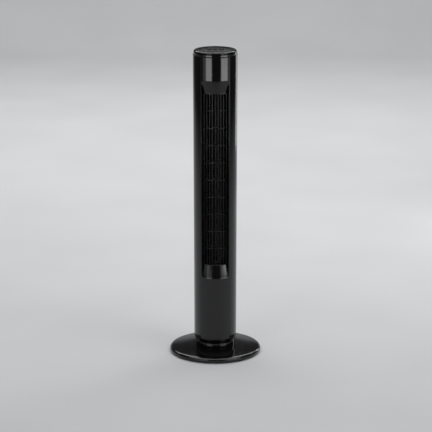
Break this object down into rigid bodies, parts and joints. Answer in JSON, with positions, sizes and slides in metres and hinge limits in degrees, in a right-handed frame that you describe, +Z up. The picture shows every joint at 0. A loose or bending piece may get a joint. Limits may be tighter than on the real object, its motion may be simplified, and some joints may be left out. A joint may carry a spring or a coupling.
{
  "type": "tower fan",
  "caption": "Slim black oscillating tower fan: tapered gloss column with a barred front outlet, slotted rear inlet, hand grip and top control panel, on a round base.",
  "frame": {"origin": "on the floor, under the axis that the column swivels about", "axes": "+Z up, -Y the way the air leaves, +X to the right as seen from the front"},
  "size_m": [0.3, 0.3, 1.01],
  "materials": {
    "gloss_black": "gloss black moulded plastic",
    "satin_black": "satin black moulded plastic",
    "matte_black": "fine textured black moulded plastic",
    "inner_black": "plain black inner moulding",
    "impeller_black": "black moulded fan blades",
    "white_plastic": "natural acetal",
    "rubber_black": "black rubber",
    "rubber_grey": "grey damping rubber",
    "zinc_steel": "zinc plated steel",
    "bright_steel": "polished bearing steel",
    "shaft_steel": "ground steel",
    "lamination": "silicon steel laminations",
    "bronze": "oil-filled sintered bronze",
    "copper": "enamelled copper wire",
    "rotor_metal": "rotor with cast aluminium end rings",
    "circuit_board": "green glass-epoxy circuit board",
    "smoked_lens": "smoked display window",
    "display_white": "white display reflector",
    "cable_black": "black sheathed wires"
  },
  "bodies": {
    "base": {"base_shell": "gloss_black", "cord_gland": "rubber_black", "base_plate": "matte_black", "rubber_feet": "rubber_black", "plate_screws": "zinc_steel", "pedestal_screws": "zinc_steel", "pedestal": "gloss_black", "swivel_post": "zinc_steel", "post_retainer": "inner_black", "post_screws": "zinc_steel", "retainer_screws": "zinc_steel", "ring_gear": "white_plastic"},
    "ball_race": {"ball_cage": "white_plastic", "bearing_balls": "bright_steel"},
    "column": {"column_foot": "gloss_black", "swing_motor": "zinc_steel", "swing_motor_screws": "zinc_steel", "front_shell": "gloss_black", "front_panel": "gloss_black", "front_grille": "satin_black", "rear_shell": "satin_black", "shell_screws": "zinc_steel", "hand_grip": "satin_black", "inlet_grille": "satin_black", "duct_floor": "inner_black", "duct_ceiling": "inner_black", "bush_seat": "rubber_grey", "top_bush": "bronze", "scroll_guide": "inner_black", "tongue_guide": "inner_black", "motor_stator": "lamination", "motor_windings": "copper", "motor_upper_cap": "zinc_steel", "motor_lower_cap": "zinc_steel", "motor_bushes": "bronze", "motor_grommets": "rubber_grey", "motor_screws": "zinc_steel", "board_bracket": "zinc_steel", "power_board": "circuit_board", "motor_capacitor": "matte_black", "wire_harness": "cable_black", "top_cap": "gloss_black", "control_panel": "satin_black", "display_lens": "smoked_lens", "control_board": "circuit_board", "board_screws": "zinc_steel", "display_module": "display_white", "tact_switches": "matte_black"},
    "pinion": {"drive_pinion": "white_plastic", "swing_shaft": "shaft_steel"},
    "impeller": {"impeller_hub": "impeller_black", "hub_insert": "shaft_steel", "impeller_stages": "impeller_black", "impeller_cap": "impeller_black", "motor_shaft": "shaft_steel", "motor_rotor": "rotor_metal"},
    "power_button_body": {"power_button": "satin_black"},
    "speed_button_body": {"speed_button": "satin_black"},
    "swing_button_body": {"swing_button": "satin_black"},
    "timer_button_body": {"timer_button": "satin_black"}
  },
  "joints": [
    {"name": "column_swivel", "type": "hinge", "parent": "base", "child": "column", "pos_m": [0, 0, 0.05], "axis": [0, 0, 1], "range_deg": [-37.5, 37.5]},
    {"name": "cage_roll", "type": "hinge", "parent": "base", "child": "ball_race", "pos_m": [0, 0, 0.042], "axis": [0, 0, 1], "range_deg": [-19, 19]},
    {"name": "pinion_spin", "type": "hinge", "parent": "column", "child": "pinion", "pos_m": [0, 0.04, 0.043], "axis": [0, 0, 1], "range_deg": [-113, 113]},
    {"name": "fan_spin", "type": "hinge", "parent": "column", "child": "impeller", "pos_m": [0, 0.008, 0.3], "axis": [0, 0, 1], "continuous": true},
    {"name": "power_button_press", "type": "slide", "parent": "column", "child": "power_button_body", "axis": [0, 0, -1], "range_m": [0, 0.0008], "stiffness_N_per_m": 1000},
    {"name": "speed_button_press", "type": "slide", "parent": "column", "child": "speed_button_body", "axis": [0, 0, -1], "range_m": [0, 0.0008], "stiffness_N_per_m": 1000},
    {"name": "swing_button_press", "type": "slide", "parent": "column", "child": "swing_button_body", "axis": [0, 0, -1], "range_m": [0, 0.0008], "stiffness_N_per_m": 1000},
    {"name": "timer_button_press", "type": "slide", "parent": "column", "child": "timer_button_body", "axis": [0, 0, -1], "range_m": [0, 0.0008], "stiffness_N_per_m": 1000}
  ],
  "couplings": [
    {"joint": "cage_roll", "follows": "column_swivel", "ratio": 0.5},
    {"joint": "pinion_spin", "follows": "column_swivel", "ratio": 3}
  ]
}
